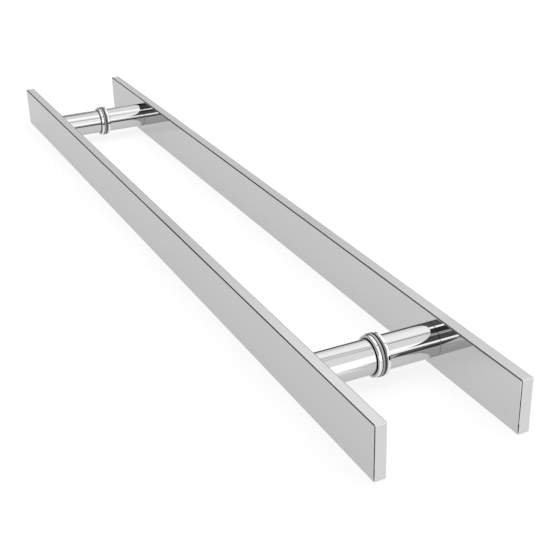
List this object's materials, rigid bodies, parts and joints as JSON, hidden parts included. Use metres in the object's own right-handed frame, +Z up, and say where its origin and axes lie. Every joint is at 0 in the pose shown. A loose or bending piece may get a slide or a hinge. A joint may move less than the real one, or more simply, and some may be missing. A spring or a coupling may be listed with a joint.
{
  "type": "double-sided door pull handle",
  "caption": "Back-to-back flat bar pull with round posts, bolted to itself through a door with concealed studs, flange washers and gaskets.",
  "frame": {"origin": "midway along the bars and midway between their outer faces, at the level of the bars' lower edges", "axes": "+X along the bars, +Y through the door from the front bar to the back bar, +Z up"},
  "size_m": [0.8, 0.114, 0.04],
  "materials": {
    "bar": "mirror polished",
    "post": "mirror polished",
    "flange": "mirror polished",
    "gasket": "smooth grey",
    "fixing_steel": "plain machined"
  },
  "bodies": {
    "root": {"front_bar": "bar", "back_bar": "bar", "front_post_left": "post", "front_post_right": "post", "back_post_left": "post", "back_post_right": "post", "front_flange_left": "flange", "front_flange_right": "flange", "back_flange_left": "flange", "back_flange_right": "flange", "front_gasket_left": "gasket", "front_gasket_right": "gasket", "back_gasket_left": "gasket", "back_gasket_right": "gasket", "through_stud_left": "fixing_steel", "through_stud_right": "fixing_steel", "boss_left": "fixing_steel", "boss_right": "fixing_steel", "set_screw_left": "fixing_steel", "set_screw_right": "fixing_steel", "front_joint_stud_left": "fixing_steel", "front_joint_stud_right": "fixing_steel", "back_joint_stud_left": "fixing_steel", "back_joint_stud_right": "fixing_steel"}
  },
  "joints": []
}
